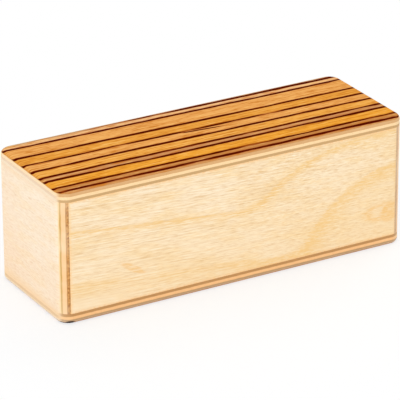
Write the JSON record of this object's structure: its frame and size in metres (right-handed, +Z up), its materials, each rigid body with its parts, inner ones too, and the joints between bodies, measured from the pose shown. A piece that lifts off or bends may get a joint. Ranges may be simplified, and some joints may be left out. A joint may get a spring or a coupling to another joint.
{
  "type": "wooden shaker",
  "caption": "Closed rectangular plywood hand shaker with rounded edges, striped veneer on its top and bottom, plain wood sides and loose shot inside that rattles when it is shaken.",
  "frame": {"origin": "middle of the underside, where the shaker rests on a table", "axes": "+X along the length, +Y from the front panel to the back panel, +Z up"},
  "size_m": [0.2, 0.069, 0.0714],
  "materials": {
    "birch_plywood": "satin clear lacquer on pale birch",
    "striped_veneer": "satin clear lacquer on orange veneer with dark brown stripes along the length",
    "steel_shot": "bare steel, slightly dull"
  },
  "bodies": {
    "box": {"bottom_veneer": "striped_veneer", "bottom_board": "birch_plywood", "left_end_panel": "birch_plywood", "right_end_panel": "birch_plywood", "front_panel": "birch_plywood", "back_panel": "birch_plywood", "top_board": "birch_plywood", "top_veneer": "striped_veneer"},
    "bead_01": {"bead_01": "steel_shot"},
    "bead_02": {"bead_02": "steel_shot"},
    "bead_03": {"bead_03": "steel_shot"},
    "bead_04": {"bead_04": "steel_shot"},
    "bead_05": {"bead_05": "steel_shot"},
    "bead_06": {"bead_06": "steel_shot"},
    "bead_07": {"bead_07": "steel_shot"},
    "bead_08": {"bead_08": "steel_shot"},
    "bead_09": {"bead_09": "steel_shot"},
    "bead_10": {"bead_10": "steel_shot"},
    "bead_11": {"bead_11": "steel_shot"},
    "bead_12": {"bead_12": "steel_shot"},
    "bead_13": {"bead_13": "steel_shot"},
    "bead_14": {"bead_14": "steel_shot"},
    "bead_15": {"bead_15": "steel_shot"},
    "bead_16": {"bead_16": "steel_shot"},
    "bead_17": {"bead_17": "steel_shot"},
    "bead_18": {"bead_18": "steel_shot"},
    "bead_19": {"bead_19": "steel_shot"},
    "bead_20": {"bead_20": "steel_shot"},
    "bead_21": {"bead_21": "steel_shot"},
    "bead_22": {"bead_22": "steel_shot"},
    "bead_23": {"bead_23": "steel_shot"},
    "bead_24": {"bead_24": "steel_shot"},
    "bead_25": {"bead_25": "steel_shot"},
    "bead_26": {"bead_26": "steel_shot"},
    "bead_27": {"bead_27": "steel_shot"},
    "bead_28": {"bead_28": "steel_shot"},
    "bead_29": {"bead_29": "steel_shot"},
    "bead_30": {"bead_30": "steel_shot"},
    "bead_31": {"bead_31": "steel_shot"},
    "bead_32": {"bead_32": "steel_shot"},
    "bead_33": {"bead_33": "steel_shot"},
    "bead_34": {"bead_34": "steel_shot"},
    "bead_35": {"bead_35": "steel_shot"},
    "bead_36": {"bead_36": "steel_shot"},
    "bead_37": {"bead_37": "steel_shot"},
    "bead_38": {"bead_38": "steel_shot"},
    "bead_39": {"bead_39": "steel_shot"},
    "bead_40": {"bead_40": "steel_shot"}
  },
  "joints": [
    {"name": "bead_01_roll", "type": "slide", "parent": "box", "child": "bead_01", "axis": [0, 1, 0], "range_m": [0, 0.0554]},
    {"name": "bead_02_roll", "type": "slide", "parent": "box", "child": "bead_02", "axis": [0, 1, 0], "range_m": [-0.03424, 0.02116]},
    {"name": "bead_03_roll", "type": "slide", "parent": "box", "child": "bead_03", "axis": [0, 1, 0], "range_m": [-0.01308, 0.04232]},
    {"name": "bead_04_roll", "type": "slide", "parent": "box", "child": "bead_04", "axis": [0, 1, 0], "range_m": [-0.04732, 0.00808]},
    {"name": "bead_05_roll", "type": "slide", "parent": "box", "child": "bead_05", "axis": [0, 1, 0], "range_m": [-0.02616, 0.02924]},
    {"name": "bead_06_roll", "type": "slide", "parent": "box", "child": "bead_06", "axis": [0, 1, 0], "range_m": [-0.005, 0.0504]},
    {"name": "bead_07_roll", "type": "slide", "parent": "box", "child": "bead_07", "axis": [0, 1, 0], "range_m": [-0.03923, 0.01617]},
    {"name": "bead_08_roll", "type": "slide", "parent": "box", "child": "bead_08", "axis": [0, 1, 0], "range_m": [-0.01807, 0.03733]},
    {"name": "bead_09_roll", "type": "slide", "parent": "box", "child": "bead_09", "axis": [0, 1, 0], "range_m": [-0.05231, 0.00309]},
    {"name": "bead_10_roll", "type": "slide", "parent": "box", "child": "bead_10", "axis": [0, 1, 0], "range_m": [-0.03115, 0.02425]},
    {"name": "bead_11_roll", "type": "slide", "parent": "box", "child": "bead_11", "axis": [0, 1, 0], "range_m": [-0.00999, 0.04541]},
    {"name": "bead_12_roll", "type": "slide", "parent": "box", "child": "bead_12", "axis": [0, 1, 0], "range_m": [-0.04423, 0.01117]},
    {"name": "bead_13_roll", "type": "slide", "parent": "box", "child": "bead_13", "axis": [0, 1, 0], "range_m": [-0.02307, 0.03233]},
    {"name": "bead_14_roll", "type": "slide", "parent": "box", "child": "bead_14", "axis": [0, 1, 0], "range_m": [-0.00191, 0.05349]},
    {"name": "bead_15_roll", "type": "slide", "parent": "box", "child": "bead_15", "axis": [0, 1, 0], "range_m": [-0.03615, 0.01925]},
    {"name": "bead_16_roll", "type": "slide", "parent": "box", "child": "bead_16", "axis": [0, 1, 0], "range_m": [-0.01499, 0.04041]},
    {"name": "bead_17_roll", "type": "slide", "parent": "box", "child": "bead_17", "axis": [0, 1, 0], "range_m": [-0.04922, 0.00617]},
    {"name": "bead_18_roll", "type": "slide", "parent": "box", "child": "bead_18", "axis": [0, 1, 0], "range_m": [-0.02806, 0.02734]},
    {"name": "bead_19_roll", "type": "slide", "parent": "box", "child": "bead_19", "axis": [0, 1, 0], "range_m": [-0.0069, 0.0485]},
    {"name": "bead_20_roll", "type": "slide", "parent": "box", "child": "bead_20", "axis": [0, 1, 0], "range_m": [-0.04114, 0.01426]},
    {"name": "bead_21_roll", "type": "slide", "parent": "box", "child": "bead_21", "axis": [0, 1, 0], "range_m": [-0.01998, 0.03542]},
    {"name": "bead_22_roll", "type": "slide", "parent": "box", "child": "bead_22", "axis": [0, 1, 0], "range_m": [-0.05422, 0.00118]},
    {"name": "bead_23_roll", "type": "slide", "parent": "box", "child": "bead_23", "axis": [0, 1, 0], "range_m": [-0.03306, 0.02234]},
    {"name": "bead_24_roll", "type": "slide", "parent": "box", "child": "bead_24", "axis": [0, 1, 0], "range_m": [-0.0119, 0.0435]},
    {"name": "bead_25_roll", "type": "slide", "parent": "box", "child": "bead_25", "axis": [0, 1, 0], "range_m": [-0.04614, 0.00926]},
    {"name": "bead_26_roll", "type": "slide", "parent": "box", "child": "bead_26", "axis": [0, 1, 0], "range_m": [-0.02498, 0.03042]},
    {"name": "bead_27_roll", "type": "slide", "parent": "box", "child": "bead_27", "axis": [0, 1, 0], "range_m": [-0.00382, 0.05158]},
    {"name": "bead_28_roll", "type": "slide", "parent": "box", "child": "bead_28", "axis": [0, 1, 0], "range_m": [-0.03805, 0.01734]},
    {"name": "bead_29_roll", "type": "slide", "parent": "box", "child": "bead_29", "axis": [0, 1, 0], "range_m": [-0.01689, 0.03851]},
    {"name": "bead_30_roll", "type": "slide", "parent": "box", "child": "bead_30", "axis": [0, 1, 0], "range_m": [-0.05113, 0.00427]},
    {"name": "bead_31_roll", "type": "slide", "parent": "box", "child": "bead_31", "axis": [0, 1, 0], "range_m": [-0.02997, 0.02543]},
    {"name": "bead_32_roll", "type": "slide", "parent": "box", "child": "bead_32", "axis": [0, 1, 0], "range_m": [-0.00881, 0.04659]},
    {"name": "bead_33_roll", "type": "slide", "parent": "box", "child": "bead_33", "axis": [0, 1, 0], "range_m": [-0.04305, 0.01235]},
    {"name": "bead_34_roll", "type": "slide", "parent": "box", "child": "bead_34", "axis": [0, 1, 0], "range_m": [-0.02189, 0.03351]},
    {"name": "bead_35_roll", "type": "slide", "parent": "box", "child": "bead_35", "axis": [0, 1, 0], "range_m": [-0.00073, 0.05467]},
    {"name": "bead_36_roll", "type": "slide", "parent": "box", "child": "bead_36", "axis": [0, 1, 0], "range_m": [-0.03497, 0.02043]},
    {"name": "bead_37_roll", "type": "slide", "parent": "box", "child": "bead_37", "axis": [0, 1, 0], "range_m": [-0.01381, 0.04159]},
    {"name": "bead_38_roll", "type": "slide", "parent": "box", "child": "bead_38", "axis": [0, 1, 0], "range_m": [-0.04805, 0.00735]},
    {"name": "bead_39_roll", "type": "slide", "parent": "box", "child": "bead_39", "axis": [0, 1, 0], "range_m": [-0.02688, 0.02851]},
    {"name": "bead_40_roll", "type": "slide", "parent": "box", "child": "bead_40", "axis": [0, 1, 0], "range_m": [-0.00572, 0.04968]}
  ]
}
